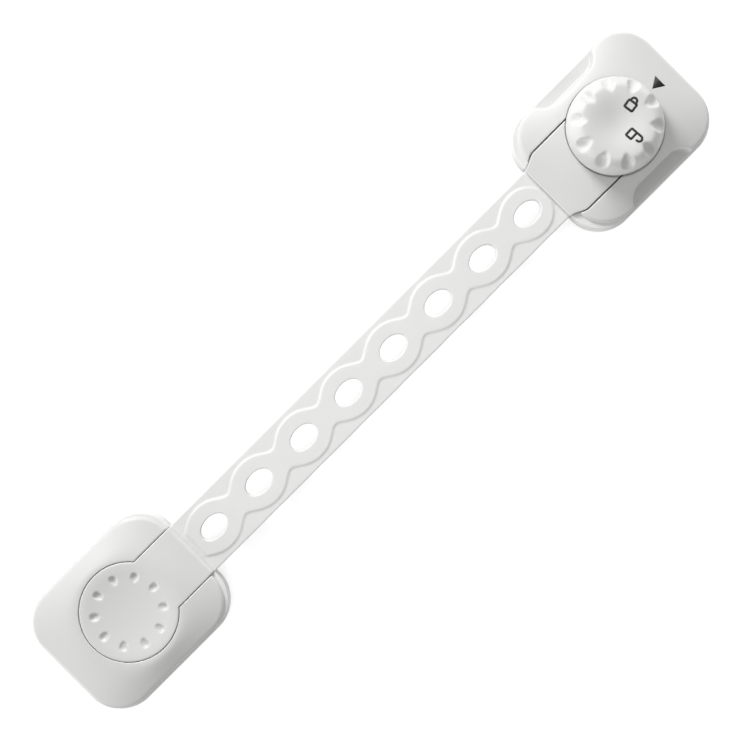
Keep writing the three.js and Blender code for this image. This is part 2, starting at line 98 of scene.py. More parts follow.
def slopeOf(field, points, reach=0.02):
    columns = []
    for axis in range(3):
        shift = np.zeros(3)
        shift[axis] = reach
        ahead = field(*(points + shift).T)
        behind = field(*(points - shift).T)
        columns.append((ahead - behind) / (2 * reach))
    return np.stack(columns, 1)


# Skins a distance field (mm, negative inside) with one vertex per crossed grid cell, then pulls the
# vertices onto the surface. With shared=True the last column of cells belongs to the next piece along X.
def skin(field, low, high, step, shared=False):
    low = np.asarray(low, float)
    counts = np.ceil((np.asarray(high) - low) / step - 1e-6).astype(int) + 1
    axes = [low[i] + step * np.arange(counts[i]) for i in range(3)]
    value = field(*np.meshgrid(*axes, indexing="ij"))
    inside = value < 0
    cells = tuple(counts - 1)
    total = np.zeros(cells + (3,))
    hits = np.zeros(cells)

    def corner(grid, offset):
        return grid[tuple(slice(o, o + n) for o, n in zip(offset, cells))]

    for axis in range(3):
        for a in (0, 1):
            for b in (0, 1):
                start = [a, b]
                start.insert(axis, 0)
                end = list(start)
                end[axis] = 1
                va, vb = corner(value, start), corner(value, end)
                cross = (va < 0) != (vb < 0)
                share = np.where(cross, va / np.where(cross, va - vb, 1), 0)
                for i in range(3):
                    total[..., i] += cross * (share if i == axis else start[i])
                hits += cross
    active = hits > 0
    index = np.full(cells, -1)
    index[active] = np.arange(active.sum())
    place = np.argwhere(active)
    points = low + step * (place + total[active] / hits[active][:, None])

    faces = []
    for axis in range(3):
        side, up = (axis + 1) % 3, (axis + 2) % 3
        first = np.moveaxis(inside, (axis, side, up), (0, 1, 2))
        cellIndex = np.moveaxis(index, (axis, side, up), (0, 1, 2))
        below, over = first[:-1, 1:-1, 1:-1], first[1:, 1:-1, 1:-1]
        if shared and axis == 0:
            below, over = below[:-1], over[:-1]
        i, j, k = np.nonzero(below != over)
        ring = ((j, k), (j + 1, k), (j + 1, k + 1), (j, k + 1))
        quad = np.stack([cellIndex[i, a, b] for a, b in ring], 1)
        outward = below[i, j, k][:, None]
        faces.append(np.where(outward, quad, quad[:, ::-1]))
    for _ in range(3):      # three pulls bring the vertices onto the surface
        slope = slopeOf(field, points)
        distance = field(*points.T)
        move = distance / np.maximum((slope ** 2).sum(1), 0.05)
        points = points - np.clip(move, -step / 2, step / 2)[:, None] * slope
    return points, np.concatenate(faces)


# Distance to an ellipse or ellipsoid with the given half-axes, true near its surface.
def ellipsoid(offsets, halves):
    near = np.sqrt(sum((o / h) ** 2 for o, h in zip(offsets, halves)))
    steep = np.sqrt(sum((o / h ** 2) ** 2 for o, h in zip(offsets, halves)))
    return near * (near - 1) / np.maximum(steep, 1e-6)


# Rounded rectangle as a closed list of points.
def slabOutline(centre, halfLength, halfWidth, corner, steps):
    points = []
    for quarter, (sx, sy) in enumerate(((1, 1), (-1, 1), (-1, -1), (1, -1))):
        for i in range(steps + 1):
            turn = math.pi / 2 * (quarter + i / steps)
            px = centre + sx * (halfLength - corner) + corner * math.cos(turn)
            points.append((px, sy * (halfWidth - corner) + corner * math.sin(turn)))
    return points


# materials

def linearColor(hexCode):
    channels = [int(hexCode[i:i + 2], 16) / 255 for i in (1, 3, 5)]
    return [c / 12.92 if c <= 0.04045 else ((c + 0.055) / 1.055) ** 2.4 for c in channels] + [1]


def addNode(tree, kind, links=(), **settings):
    node = tree.nodes.new(kind)
    for key, value in settings.items():
        if hasattr(node, key):
            setattr(node, key, value)
        else:
            node.inputs[key.replace("_", " ")].default_value = value
    for socket, source in dict(links).items():
        tree.links.new(source, node.inputs[socket])
    return node


# In the colour Mix nodes below, inputs 6 and 7 are A and B, and output 2 is the result.
def newMaterial(name):
    material = bpy.data.materials.new(name)
    material.use_nodes = True
    tree = material.node_tree
    shader = tree.nodes["Principled BSDF"]
    place = addNode(tree, "ShaderNodeTexCoord").outputs["Object"]
    return material, tree, shader, place


# Moulded ABS: even warm-grey white, faint cloudiness from the melt, a fine eroded-tool grain that breaks
# up the highlight. The grain is drawn at 0.35 mm, coarser than the real 0.05 mm, so that it shows.
def mouldedAbs(name, pale, deep, roughness):
    material, tree, shader, place = newMaterial(name)
    cloud = addNode(tree, "ShaderNodeTexNoise", {"Vector": place}, Scale=1 / (9 * mm), Detail=3)
    tone = addNode(tree, "ShaderNodeMix", {"Factor": cloud.outputs["Fac"]}, data_type="RGBA")
    tone.inputs[6].default_value = linearColor(deep)
    tone.inputs[7].default_value = linearColor(pale)
    tree.links.new(tone.outputs[2], shader.inputs["Base Color"])
    grain = addNode(tree, "ShaderNodeTexNoise", {"Vector": place}, Scale=1 / (0.35 * mm), Detail=2)
    rough = addNode(tree, "ShaderNodeMapRange", {"Value": grain.outputs["Fac"]})
    rough.inputs["To Min"].default_value = roughness - 0.05
    rough.inputs["To Max"].default_value = roughness + 0.05
    tree.links.new(rough.outputs["Result"], shader.inputs["Roughness"])
    bump = addNode(tree, "ShaderNodeBump", {"Height": grain.outputs["Fac"]},
                   Strength=0.12, Distance=0.02 * mm)
    tree.links.new(bump.outputs["Normal"], shader.inputs["Normal"])
    shader.inputs["IOR"].default_value = 1.53
    return material


# Moulded TPU: milky white that lets a little light into its edges, satin, with a softer broader grain.
def mouldedTpu():
    material, tree, shader, place = newMaterial("moulded_tpu")
    cloud = addNode(tree, "ShaderNodeTexNoise", {"Vector": place}, Scale=1 / (6 * mm), Detail=3)
    tone = addNode(tree, "ShaderNodeMix", {"Factor": cloud.outputs["Fac"]}, data_type="RGBA")
    tone.inputs[6].default_value = linearColor("#E9E9E8")
    tone.inputs[7].default_value = linearColor("#EDEDEC")
    tree.links.new(tone.outputs[2], shader.inputs["Base Color"])
    grain = addNode(tree, "ShaderNodeTexNoise", {"Vector": place}, Scale=1 / (0.5 * mm), Detail=2)
    rough = addNode(tree, "ShaderNodeMapRange", {"Value": grain.outputs["Fac"]})
    rough.inputs["To Min"].default_value = 0.42
    rough.inputs["To Max"].default_value = 0.54
    tree.links.new(rough.outputs["Result"], shader.inputs["Roughness"])
    bump = addNode(tree, "ShaderNodeBump", {"Height": grain.outputs["Fac"]},
                   Strength=0.1, Distance=0.02 * mm)
    tree.links.new(bump.outputs["Normal"], shader.inputs["Normal"])
    shader.inputs["IOR"].default_value = 1.5
    shader.inputs["Subsurface Weight"].default_value = 0.15
    shader.inputs["Subsurface Radius"].default_value = (1, 1, 1)
    shader.inputs["Subsurface Scale"].default_value = 0.6 * mm
    return material


# Closed-cell PE foam tape: chalky, no shine, small pores where the cells are cut at the edge.
def foamTape():
    material, tree, shader, place = newMaterial("foam_tape")
    pores = addNode(tree, "ShaderNodeTexVoronoi", {"Vector": place}, Scale=1 / (0.5 * mm))
    tone = addNode(tree, "ShaderNodeMix", {"Factor": pores.outputs["Distance"]}, data_type="RGBA")
    tone.inputs[6].default_value = linearColor("#D5D4CF")
    tone.inputs[7].default_value = linearColor("#E6E5E1")
    tree.links.new(tone.outputs[2], shader.inputs["Base Color"])
    bump = addNode(tree, "ShaderNodeBump", {"Height": pores.outputs["Distance"]},
                   Strength=0.4, Distance=0.08 * mm)
    tree.links.new(bump.outputs["Normal"], shader.inputs["Normal"])
    shader.inputs["Roughness"].default_value = 0.92
    return material


# Steel: zinc plating has a cloudy bluish bloom, strip steel fine rolling lines along Y.
def plainSteel(name, pale, deep, stretch, roughness):
    material, tree, shader, place = newMaterial(name)
    mapping = addNode(tree, "ShaderNodeMapping", {"Vector": place})
    mapping.inputs["Scale"].default_value = stretch
    bloom = addNode(tree, "ShaderNodeTexNoise", {"Vector": mapping.outputs["Vector"]},
                    Scale=1 / (0.6 * mm), Detail=4)
    tone = addNode(tree, "ShaderNodeMix", {"Factor": bloom.outputs["Fac"]}, data_type="RGBA")
    tone.inputs[6].default_value = linearColor(deep)
    tone.inputs[7].default_value = linearColor(pale)
    tree.links.new(tone.outputs[2], shader.inputs["Base Color"])
    rough = addNode(tree, "ShaderNodeMapRange", {"Value": bloom.outputs["Fac"]})
    rough.inputs["To Min"].default_value = roughness - 0.08
    rough.inputs["To Max"].default_value = roughness + 0.08
    tree.links.new(rough.outputs["Result"], shader.inputs["Roughness"])
    shader.inputs["Metallic"].default_value = 1
    return material


# Pad-printed ink: flat soft black, a little thin in places where the pad left less.
def padPrint():
    material, tree, shader, place = newMaterial("pad_printed_ink")
    thin = addNode(tree, "ShaderNodeTexNoise", {"Vector": place}, Scale=1 / (0.4 * mm), Detail=3)
    tone = addNode(tree, "ShaderNodeMix", {"Factor": thin.outputs["Fac"]}, data_type="RGBA")
    tone.inputs[6].default_value = linearColor("#1B1B1C")
    tone.inputs[7].default_value = linearColor("#333334")
    tree.links.new(tone.outputs[2], shader.inputs["Base Color"])
    shader.inputs["Roughness"].default_value = 0.55
    return material


coverAbs = mouldedAbs("moulded_abs_cover", "#DCDCDB", "#D7D7D6", 0.42)
headAbs = mouldedAbs("moulded_abs_head", "#DDDDDC", "#D8D8D7", 0.42)
knobAbs = mouldedAbs("moulded_abs_knob", "#DEDEDD", "#D9D9D8", 0.5)
plateAbs = mouldedAbs("moulded_abs_plate", "#EEEEED", "#E9E9E8", 0.48)
strapTpu = mouldedTpu()
tapeFoam = foamTape()
zincSteel = plainSteel("zinc_plated_steel", "#C4C8CC", "#A9AEB4", (1, 1, 1), 0.36)
stripSteel = plainSteel("rolled_strip_steel", "#B4B6B8", "#96989B", (6, 0.4, 6), 0.3)
printInk = padPrint()
print("materials ready")


# Geometry Nodes tools

# Ends a tree: makes the copies real, welds them and gives them their material.
def closeTree(tree, copies, weldGap, material, output):
    real = addNode(tree, "GeometryNodeRealizeInstances", {"Geometry": copies.outputs["Instances"]})
    weld = addNode(tree, "GeometryNodeMergeByDistance", {"Geometry": real.outputs["Geometry"]},
                   Distance=weldGap * mm)
    dressed = addNode(tree, "GeometryNodeSetMaterial", {"Geometry": weld.outputs["Geometry"]},
                      Material=material)
    addNode(tree, "NodeGroupOutput", {output: dressed.outputs["Geometry"]})


# Runs a tree on a piece and keeps the result as its plain mesh.
def bakeNodes(piece, tree, inputs):
    modifier = piece.modifiers.new(tree.name, "NODES")
    modifier.node_group = tree
    for identifier, value in inputs.items():
        modifier[identifier] = value
    ready = piece.evaluated_get(bpy.context.evaluated_depsgraph_get())
    mesh = bpy.data.meshes.new_from_object(ready)
    piece.modifiers.clear()
    piece.data = mesh
    mesh.shade_smooth()


# strap: one link of band, raised chain and oval hole, repeated along X by Geometry Nodes. The first and
# the last link are skinned with the tails, because the chain runs out there.

strap = {
    "links": 8,
    "pitch": 14.7,
    "halfWidth": (strapHigh[1] - strapLow[1]) / 2,
    "thickness": 2.0,   # of the band without its chain
    "holeHalf": (3.67, 2.45),
    "crest": 11.9,      # the chain's width round a hole
    "neck": 6.3,        # and between two holes
    "neckRound": 0.2,   # rounding of the chain's waist, as a share of half a link
    "fullness": 2.25,   # how round the chain's links are
    "lastLink": 6.3,    # from the last hole to the chain's round end
    "rise": 0.25,       # of the chain over the band
    "flank": 0.75,      # width of the chain's soft edge
    "flankScale": 0.95,  # cosine of its slope, which turns heights into distances
    "fade": 1.2,        # the chain sinks into the band over this length at the units
    "edge": 0.22,
    "holeEdge": 0.2,
    "bend": 24,         # half of the middle stretch, where the real strap bends round a corner
    "cellsPerLink": 66,
    "margin": 0.5,      # of the skin's grid
    "weld": 0.01,
}
bandTop = bandBottom + strap["thickness"]


# Distance inwards from the chain's edge.
def chainField(x, y, local):
    waist = 1 - 2 * np.abs(local) / strap["pitch"]
    soft = strap["neckRound"]
    full = math.hypot(1, soft) - soft
    fall = 1 - (np.hypot(waist, soft) - soft) / full
    spread = (strap["crest"] - strap["neck"]) / 2
    half = strap["neck"] / 2 + spread * (1 - fall ** strap["fullness"])
    lean = spread * strap["fullness"] * fall ** (strap["fullness"] - 1)
    lean = lean * waist / np.hypot(waist, soft) / full * 2 / strap["pitch"]
    chain = (half - np.abs(y)) / np.sqrt(1 + lean ** 2)
    lastHole = (strap["links"] - 1) / 2 * strap["pitch"]
    tip = ellipsoid((x - lastHole, y), (strap["lastLink"], strap["crest"] / 2))
    return np.where(x > lastHole, -tip, chain)


def strapField(x, y, z):
    phase = x / strap["pitch"] - 0.5
    local = (phase - np.round(phase)) * strap["pitch"]
    share = np.clip(chainField(x, y, local) / strap["flank"] + 0.5, 0, 1)
    fade = np.clip((edgeX - np.abs(x)) / strap["fade"], 0, 1)
    top = bandTop + strap["rise"] * fade * share ** 2 * (3 - 2 * share)
    layer = np.maximum((z - top) * strap["flankScale"], bandBottom - z)
    band = roundMax(np.abs(y) - strap["halfWidth"], layer, strap["edge"])
    hole = ellipsoid((local, y), strap["holeHalf"])
    holesEnd = strap["links"] * strap["pitch"] / 2
    hole = np.where(np.abs(x) < holesEnd, hole, strap["pitch"])
    band = roundMax(band, -hole, strap["holeEdge"])
    return roundMax(band, np.abs(x) - tailEnd, strap["edge"])


def linkTree():
    tree = bpy.data.node_groups.new("strapLinks", "GeometryNodeTree")
    tree.interface.new_socket("Link", in_out="INPUT", socket_type="NodeSocketGeometry")
    count = tree.interface.new_socket("Link Count", in_out="INPUT", socket_type="NodeSocketInt")
    pitch = tree.interface.new_socket("Link Pitch", in_out="INPUT", socket_type="NodeSocketFloat")
    tree.interface.new_socket("Strap", in_out="OUTPUT", socket_type="NodeSocketGeometry")
    given = addNode(tree, "NodeGroupInput").outputs
    offset = addNode(tree, "ShaderNodeCombineXYZ", {"X": given["Link Pitch"]}).outputs["Vector"]
    row = addNode(tree, "GeometryNodeMeshLine", {"Count": given["Link Count"], "Offset": offset})
    copies = addNode(tree, "GeometryNodeInstanceOnPoints",
                     {"Points": row.outputs["Mesh"], "Instance": given["Link"]})
    closeTree(tree, copies, strap["weld"], strapTpu, "Strap")
    return tree, count.identifier, pitch.identifier


def makeStrap():
    step = strap["pitch"] / strap["cellsPerLink"]
    inner = strap["links"] - 2
    start = -inner / 2 * strap["pitch"]
    reach = strap["halfWidth"] + strap["margin"]
    under = (-reach, bandBottom - strap["margin"])
    over = (reach, bandTop + strap["rise"] + strap["margin"])
    link = skin(strapField, (start, *under), (start + strap["pitch"] + step, *over), step, shared=True)
    piece = newPiece("strap", *link, strapTpu)
    tree, count, pitch = linkTree()
    bakeNodes(piece, tree, {count: inner, pitch: strap["pitch"] * mm})
    tail = (math.ceil((tailEnd + start) / step) + 2) * step
    leftTail = skin(strapField, (start - tail, *under), (start + step, *over), step, shared=True)
    rightTail = skin(strapField, (-start, *under), (-start + tail, *over), step)
    joined = bmesh.new()
    joined.from_mesh(piece.data)
    for points, faces in (leftTail, rightTail):
        verts = [joined.verts.new(point) for point in points * mm]
        for face in faces:
            joined.faces.new([verts[i] for i in face]).smooth = True
    bmesh.ops.remove_doubles(joined, verts=joined.verts[:], dist=strap["weld"] * mm)
    joined.to_mesh(piece.data)
    joined.free()
    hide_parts("strap")
    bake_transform(piece)
    print("strap:", len(piece.data.polygons), "faces")


# crowned covers and the heads that lie flush in them

unit = {
    "halfLength": (coverHigh[0] - coverLow[0]) / 2,
    "halfWidth": (coverHigh[1] - coverLow[1]) / 2,
    "anchorInset": 1.0,     # the cover stands back from the plate at the strap, the far end and the sides
    "lockInset": 1.35,
    "farInset": 0.6,
    "sideInset": 0.4,
    "corner": 8.7,
    "draft": 0.02,          # lean of the sides, as a slope
    "edge": 0.7,            # rounding of the cover's edge
    "anchorPlateau": 12.2,  # flat top round the cap
    "lockPlateau": 11.4,    # flat top under the knob
    "rise": 2.4,            # from the edge up to the plateau
    "squareness": 5,        # power of the rounded square that the crown's slope runs down to
    "softness": 0.2,        # how gently the slope runs out into the plateau
    "lip": 0.12,            # rounding of the seam edges and the cover's foot
    "underEdge": 0.1,       # rounding under the heads
    "headGap": 0.03,        # between the heads and the strap under them
    "floor": 6.2,           # pocket floor
    "crownScale": 0.93,     # cosines of the steepest slopes, which turn heights into distances
    "sideScale": 0.98,
    "step": 0.25,           # skin resolution
    "margin": (1.6, 0.6),   # of the skin's grid, along X and elsewhere
}
headUnder = bandTop + unit["headGap"]


# Rounded box of one unit in plan; side is -1 for the anchor and 1 for the lock.
def unitBox(x, y, side, near, far, half, corner):
    ax = np.abs(x - side * (near + far) / 2) - (far - near) / 2 + corner
    ay = np.abs(y) - half + corner
    beyond = np.hypot(np.maximum(ax, 0), np.maximum(ay, 0))
    return beyond + np.minimum(np.maximum(ax, ay), 0) - corner


def coverOutline(x, y, centre):
    near = coverLow[0] + (unit["lockInset"] if centre > 0 else unit["anchorInset"])
    far = coverHigh[0] - unit["farInset"]
    half = unit["halfWidth"] - unit["sideInset"]
    return unitBox(x, y, math.copysign(1, centre), near, far, half, unit["corner"])


# Slope from the rounded edge up to the plateau, measured along rays from the unit's middle. It runs on a
# little past the edge.
def crownHeight(x, y, centre):
    away = np.hypot(x - centre, y)
    power = unit["squareness"]
    squarish = (np.abs(x - centre) / unit["halfLength"]) ** power + (np.abs(y) / unit["halfWidth"]) ** power
    rim = away / np.maximum(squarish, 1e-9) ** (1 / power)
    plateau = unit["lockPlateau"] if centre > 0 else unit["anchorPlateau"]
    share = np.clip((away - plateau) / np.maximum(rim - plateau, 0.1), 0, 1.2)
    soft = unit["softness"]
    fall = (np.hypot(share, soft) - soft) / (math.hypot(1, soft) - soft)
    return crownTop - unit["rise"] * fall


def pillow(x, y, z, centre):
    top = (z - crownHeight(x, y, centre)) * unit["crownScale"]
    side = coverOutline(x, y, centre) + unit["draft"] * (z - plateTop)
    return roundMax(top, side * unit["sideScale"], unit["edge"])


def coverField(x, y, z, centre, outline, seam):
    body = roundMax(pillow(x, y, z, centre), plateTop - z, unit["lip"])
    pocket = np.maximum(outline - seam, unit["floor"] - z)
    return roundMax(body, -pocket, unit["lip"])


# A head has the cover's crown, but ends square over the strap.
def headField(x, y, z, centre, outline, end, endEdge):
    top = (z - crownHeight(x, y, centre)) * unit["crownScale"]
    body = roundMax(top, end - np.abs(x), endEdge)
    body = roundMax(body, outline, unit["lip"])
    return roundMax(body, headUnder - z, unit["underEdge"])


def unitGrid(centre, bottom):
    along, across = unit["margin"]
    low = (centre - unit["halfLength"] - along, -unit["halfWidth"] - across, bottom - across)
    high = (centre + unit["halfLength"] + along, unit["halfWidth"] + across, crownTop + across)
    return low, high, unit["step"]


# anchor unit

anchorCap = {
    "x": 0.45 - unitX,  # a little nearer to the strap than the unit's middle
    "radius": 11.5,
    "neckHalf": 7.3,
    "seam": 0.16,
    "end": edgeX + 0.3,  # where the neck stops over the strap
    "endEdge": 1.0,     # rounding of the neck's end
    "dishRadius": 10.3,
    "dishDepth": 1.1,
    "dishRim": 0.2,     # soft edge of the dish
    "dimples": 10,
    "dimpleRing": 8.25,
    "dimpleSize": (0.95, 0.92, 0.62),
    "dimplePoint": 1.7,  # how much longer a dimple is towards the middle
    "dimpleEdge": 0.1,
}


def capOutline(x, y):
    disc = np.hypot(x - anchorCap["x"], y) - anchorCap["radius"]
    neck = np.maximum(np.abs(y) - anchorCap["neckHalf"], anchorCap["x"] - x)
    return np.minimum(disc, neck)


def anchorCoverField(x, y, z):
    return coverField(x, y, z, -unitX, capOutline(x, y), anchorCap["seam"])


def anchorHeadField(x, y, z):
    cap = anchorCap
    field = headField(x, y, z, -unitX, capOutline(x, y), cap["end"], cap["endEdge"])
    ball = (cap["dishRadius"] ** 2 + cap["dishDepth"] ** 2) / (2 * cap["dishDepth"])
    dishZ = crownTop - cap["dishDepth"] + ball
    across = x - cap["x"]
    away = np.sqrt(across ** 2 + y ** 2 + (z - dishZ) ** 2)
    field = roundMax(field, ball - away, cap["dishRim"])
    pitch = 2 * math.pi / cap["dimples"]
    turn = np.arctan2(y, across)
    turn = turn - pitch * np.round(turn / pitch)
    reach = np.hypot(across, y)
    floor = dishZ - math.sqrt(ball ** 2 - cap["dimpleRing"] ** 2)
    inward = reach * np.cos(turn) - cap["dimpleRing"]
    inward = np.where(inward < 0, inward / cap["dimplePoint"], inward)
    dimple = ellipsoid((inward, reach * np.sin(turn), z - floor), cap["dimpleSize"])
    return roundMax(field, -dimple, cap["dimpleEdge"])


def makeAnchorUnit():
    shell = skin(anchorCoverField, *unitGrid(-unitX, plateTop))
    cover = newPiece("anchorCover", *shell, coverAbs, "anchor_unit")
    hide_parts("anchor_cover")
    cap = skin(anchorHeadField, *unitGrid(-unitX, headUnder))
    head = newPiece("anchorHead", *cap, headAbs, "anchor_unit")
    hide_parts("anchor_head")
    print("anchor unit:", len(cover.data.polygons) + len(head.data.polygons), "faces")


# knob: one tenth with one scallop, repeated round the axis by Geometry Nodes

knob = {
    "foot": 11.2,           # radius at the skirt's foot
    "gap": 0.3,             # round and under the skirt, in its groove
    "play": (0.1, -0.17),   # middle of the groove, seen from the knob, which leans to its back
    "sink": 0.3,            # depth of the skirt in the groove
    "wall": 1.6,
    "footEdge": 0.25,       # chamfer at the skirt's foot
    "skirt": 1.0,           # straight part of the hollow
    "taper": 2.6,           # the hollow narrows by this up to the roof
    "roof": 2.2,            # thickness under the dish
    "shoulder": (3.35, 6.1),    # half-axes of the rounded shoulder
    "rim": 7.9,             # radius of the dish
    "dish": 1.1,            # and its depth
    "stem": 3.0,
    "stemBottom": 8.4,
    "scallops": 10,
    "scallopRing": 9.5,
    "scallopHalf": (2.5, 1.6),  # along the profile and round the knob
    "scallopDepth": 1.25,
    "scallopEdge": 0.02,    # softness of a scallop's edge
    "scallopEnd": -3,       # the soft edge is cut off here
    "phase": math.radians(23),  # from the pointer to the first scallop
    "turnSteps": 36,
    "sideSteps": 8,
    "shoulderSteps": 48,
    "dishSteps": 20,
    "weld": 0.005,
}
knobBottom = crownTop - knob["sink"]


def dishHeight(radius):
    share = np.minimum(radius, knob["rim"]) / knob["rim"]
    return knobTop - knob["dish"] * (1 + np.cos(math.pi * share)) / 2


# Half section as (radius, height): the hollow from the stem to the foot, then the outside up to the axis.
def knobProfile():
    wide, tall = knob["shoulder"]
    roof = knobTop - knob["dish"] - knob["roof"]
    cavity = knob["foot"] - knob["wall"]
    foot = knobBottom + knob["footEdge"]
    inner = [(0, knob["stemBottom"]), (knob["stem"], knob["stemBottom"]), (knob["stem"], roof)]
    inner += [(cavity - knob["taper"], roof), (cavity, foot + knob["skirt"]), (cavity, knobBottom)]
    inner += [(knob["foot"] - knob["footEdge"], knobBottom)]
    outer = []
    for share in np.linspace(0, 1, knob["sideSteps"])[:-1]:
        radius = knob["foot"] + (knob["rim"] + wide - knob["foot"]) * share
        outer.append((radius, foot + (knobTop - tall - foot) * share))
    for turn in np.linspace(0, math.pi / 2, knob["shoulderSteps"]):
        outer.append((knob["rim"] + wide * math.cos(turn), knobTop - tall + tall * math.sin(turn)))
    for share in np.linspace(1, 0, knob["dishSteps"])[1:]:
        outer.append((knob["rim"] * share, float(dishHeight(knob["rim"] * share))))
    return inner, outer


def scallopDepth(along, across):
    cup = 1 - (along / knob["scallopHalf"][0]) ** 2 - (across / knob["scallopHalf"][1]) ** 2
    if cup < knob["scallopEnd"]:
        return 0
    return knob["scallopDepth"] * (cup + math.sqrt(cup * cup + knob["scallopEdge"])) / 2


def knobSector():
    inner, outer = knobProfile()
    line = np.array(outer)
    ahead = np.gradient(line, axis=0)
    normal = np.stack([ahead[:, 1], -ahead[:, 0]], 1)
    normal /= np.linalg.norm(normal, axis=1)[:, None]
    along = np.concatenate([[0], np.cumsum(np.linalg.norm(np.diff(line, axis=0), axis=1))])
    turning = np.where(line[:, 1] > knobTop - knob["shoulder"][1])[0]
    middle = turning[np.argmin(np.abs(line[turning, 0] - knob["scallopRing"]))]
    halfTurn = math.pi / knob["scallops"]
    points, faces = [], []
    rows = len(inner) + len(outer)
    for turn in np.linspace(-halfTurn, halfTurn, knob["turnSteps"] + 1):
        shape = list(inner)
        for i, (radius, height) in enumerate(line):
            depth = scallopDepth(along[i] - along[middle], knob["scallopRing"] * turn)
            shape.append((radius - depth * normal[i, 0], height - depth * normal[i, 1]))
        points += [(r * math.cos(turn), r * math.sin(turn), h) for r, h in shape]
    for i in range(knob["turnSteps"]):
        for j in range(rows - 1):
            a = i * rows + j
            faces.append((a, a + rows, a + rows + 1, a + 1))
    return points, faces


def sectorTree():
    tree = bpy.data.node_groups.new("knobSectors", "GeometryNodeTree")
    tree.interface.new_socket("Sector", in_out="INPUT", socket_type="NodeSocketGeometry")
    count = tree.interface.new_socket("Scallop Count", in_out="INPUT", socket_type="NodeSocketInt")
    axis = tree.interface.new_socket("Axis X", in_out="INPUT", socket_type="NodeSocketFloat")
    phase = tree.interface.new_socket("Phase", in_out="INPUT", socket_type="NodeSocketFloat")
    tree.interface.new_socket("Knob", in_out="OUTPUT", socket_type="NodeSocketGeometry")
    given = addNode(tree, "NodeGroupInput").outputs
    centre = addNode(tree, "ShaderNodeCombineXYZ", {"X": given["Axis X"]}).outputs["Vector"]
    spots = addNode(tree, "GeometryNodeMeshLine",
                    {"Count": given["Scallop Count"], "Start Location": centre}, Offset=(0, 0, 0))
    index = addNode(tree, "GeometryNodeInputIndex").outputs["Index"]
    share = addNode(tree, "ShaderNodeMath", {0: index, 1: given["Scallop Count"]}, operation="DIVIDE")
    turn = addNode(tree, "ShaderNodeMath", {0: share.outputs[0], 2: given["Phase"]}, operation="MULTIPLY_ADD")
    turn.inputs[1].default_value = 2 * math.pi
    spin = addNode(tree, "ShaderNodeCombineXYZ", {"Z": turn.outputs[0]}).outputs["Vector"]
    copies = addNode(tree, "GeometryNodeInstanceOnPoints",
                     {"Points": spots.outputs["Mesh"], "Instance": given["Sector"], "Rotation": spin})
    closeTree(tree, copies, knob["weld"], knobAbs, "Knob")
    return tree, count.identifier, axis.identifier, phase.identifier


def makeKnob():
    piece = newPiece("knob", *knobSector(), knobAbs)
    tree, count, axis, phase = sectorTree()
    bakeNodes(piece, tree, {count: knob["scallops"], axis: unitX * mm, phase: knob["phase"]})
    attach(piece, "knob_set")
    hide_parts("knob")
    print("knob:", len(piece.data.polygons), "faces")


# lock unit

tongue = {
    "half": 9.0,
    "mouthHalf": 7.55,
    "taper": 4.0,       # length over which the mouth widens
    "bore": 3.3,
    "seam": 0.3,
    "end": edgeX - 0.3,  # where the tongue stops over the strap
    "endEdge": 0.2,
}
recess = {
    "half": 9.8,        # at the cover's side
    "innerHalf": 7.9,
    "depth": 3.8,
    "corner": 2.6,
    "lean": 0.08,       # of the walls, as a slope
    "wallScale": 0.97,  # keeps the leaning walls' distances from being too long
    "floor": 2.5,       # above the plate, at the inner wall
    "fall": 0.12,       # of the floor towards the side, as a slope
    "cove": 0.2,        # rounding along the floor
    "edge": 0.3,
}


def tongueOutline(x, y):
    share = np.clip((x - edgeX) / tongue["taper"], 0, 1)
    widen = tongue["half"] - tongue["mouthHalf"]
    half = tongue["mouthHalf"] + widen * share ** 2 * (3 - 2 * share)
    lean = widen * 6 * share * (1 - share) / tongue["taper"]
    sides = (np.abs(y) - half) / np.sqrt(1 + lean ** 2)
    return np.where(x < unitX, sides, np.hypot(x - unitX, y) - tongue["half"])


def recessField(x, y, z):
    deep = unit["halfWidth"] - recess["depth"]
    flare = (recess["half"] - recess["innerHalf"]) / recess["depth"]
    across = np.abs(x - unitX) - recess["innerHalf"] - flare * (np.abs(y) - deep)
    plan = roundMax(across / math.hypot(1, flare), deep - np.abs(y), recess["corner"])
    floor = plateTop + recess["floor"] - recess["fall"] * (np.abs(y) - deep)
    walls = (plan + recess["lean"] * (crownTop - unit["rise"] - z)) * recess["wallScale"]
    return roundMax(walls, floor - z, recess["cove"])


# Groove across cover and tongue that the knob's skirt runs in.
def grooveField(x, y, z):
    away = np.hypot(x - unitX - knob["play"][0], y - knob["play"][1])
    middle = knob["foot"] - knob["wall"] / 2
    sides = np.abs(away - middle) - knob["wall"] / 2 - knob["gap"]
    return np.maximum(sides, knobBottom - knob["gap"] - z)


def lockCoverField(x, y, z):
    field = coverField(x, y, z, unitX, tongueOutline(x, y), tongue["seam"])
    field = roundMax(field, -grooveField(x, y, z), unit["lip"])
    return roundMax(field, -recessField(x, y, z), recess["edge"])


def lockHeadField(x, y, z):
    field = headField(x, y, z, unitX, tongueOutline(x, y), tongue["end"], tongue["endEdge"])
    field = roundMax(field, -grooveField(x, y, z), unit["lip"])
    return np.maximum(field, tongue["bore"] - np.hypot(x - unitX, y))


def makeLockUnit():
    shell = skin(lockCoverField, *unitGrid(unitX, plateTop))
    cover = newPiece("lockCover", *shell, coverAbs, "lock_unit")
    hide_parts("lock_cover")
    tab = skin(lockHeadField, *unitGrid(unitX, headUnder))
    head = newPiece("lockHead", *tab, headAbs, "lock_unit")
    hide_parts("lock_head")
    print("lock unit:", len(cover.data.polygons) + len(head.data.polygons), "faces")


# base plates and foam pads

